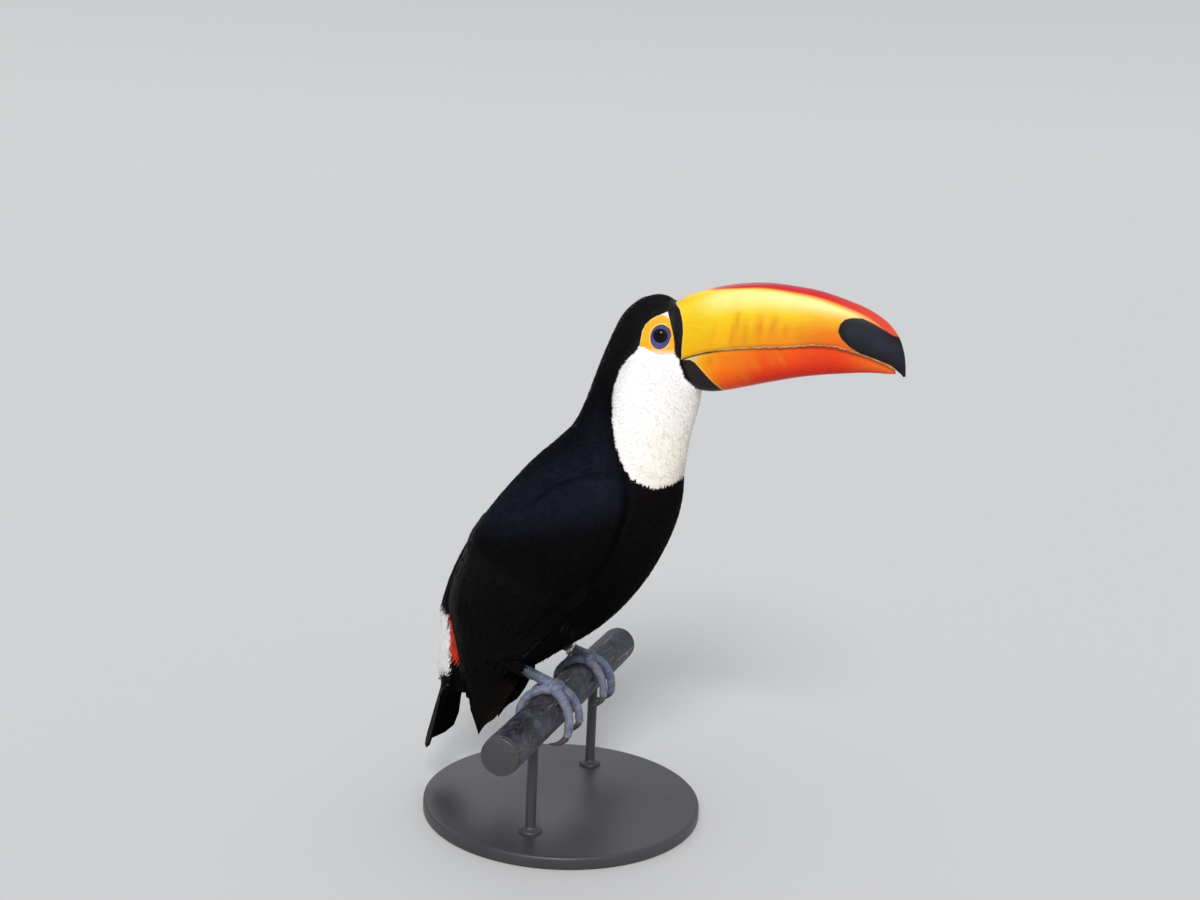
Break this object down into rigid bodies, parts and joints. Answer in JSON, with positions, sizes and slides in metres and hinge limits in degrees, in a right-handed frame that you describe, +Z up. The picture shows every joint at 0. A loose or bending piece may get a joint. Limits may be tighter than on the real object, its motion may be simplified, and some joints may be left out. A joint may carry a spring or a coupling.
{
  "type": "perched toucan figure",
  "caption": "Life-size toucan standing still on a short cut of tube rail, held up by a plain display stand with a flat round base.",
  "frame": {"origin": "centre of the stand base's underside, straight below the middle of the perch", "axes": "+X is where the bird and its bill face, +Y is the bird's left and runs along the perch, +Z is up"},
  "size_m": [0.3693, 0.2866, 0.4365],
  "materials": {
    "plumage_black": "feathers, matte black",
    "plumage_white": "feathers, off-white",
    "bill_yellow": "horny bill sheath, satin, yellow to orange with black marks",
    "bill_orange": "horny bill sheath, satin, orange to red-orange",
    "eye": "wet and glossy, dark brown",
    "leg_skin": "scaly skin, blue-grey",
    "claw_horn": "horn, dark",
    "ring_metal": "plain, lightly scuffed",
    "tube_steel": "weathered and scratched",
    "stand_paint": "satin black"
  },
  "bodies": {
    "root": {"bill_lower": "bill_orange", "bill_upper": "bill_yellow", "claw_front_inner_left": "claw_horn", "claw_front_inner_right": "claw_horn", "claw_front_outer_left": "claw_horn", "claw_front_outer_right": "claw_horn", "claw_rear_inner_left": "claw_horn", "claw_rear_inner_right": "claw_horn", "claw_rear_outer_left": "claw_horn", "claw_rear_outer_right": "claw_horn", "eye_left": "eye", "eye_right": "eye", "foot_left": "leg_skin", "foot_right": "leg_skin", "head": "plumage_black", "leg_ring": "ring_metal", "neck": "plumage_white", "perch": "tube_steel", "stand_base": "stand_paint", "stand_plug_left": "stand_paint", "stand_plug_right": "stand_paint", "stand_rod_left": "stand_paint", "stand_rod_right": "stand_paint", "tail": "plumage_black", "tarsus_left": "leg_skin", "tarsus_right": "leg_skin", "thigh_left": "plumage_black", "thigh_right": "plumage_black", "toe_front_inner_left": "leg_skin", "toe_front_inner_right": "leg_skin", "toe_front_outer_left": "leg_skin", "toe_front_outer_right": "leg_skin", "toe_rear_inner_left": "leg_skin", "toe_rear_inner_right": "leg_skin", "toe_rear_outer_left": "leg_skin", "toe_rear_outer_right": "leg_skin", "trunk": "plumage_black", "wing_left": "plumage_black", "wing_right": "plumage_black"}
  },
  "joints": []
}
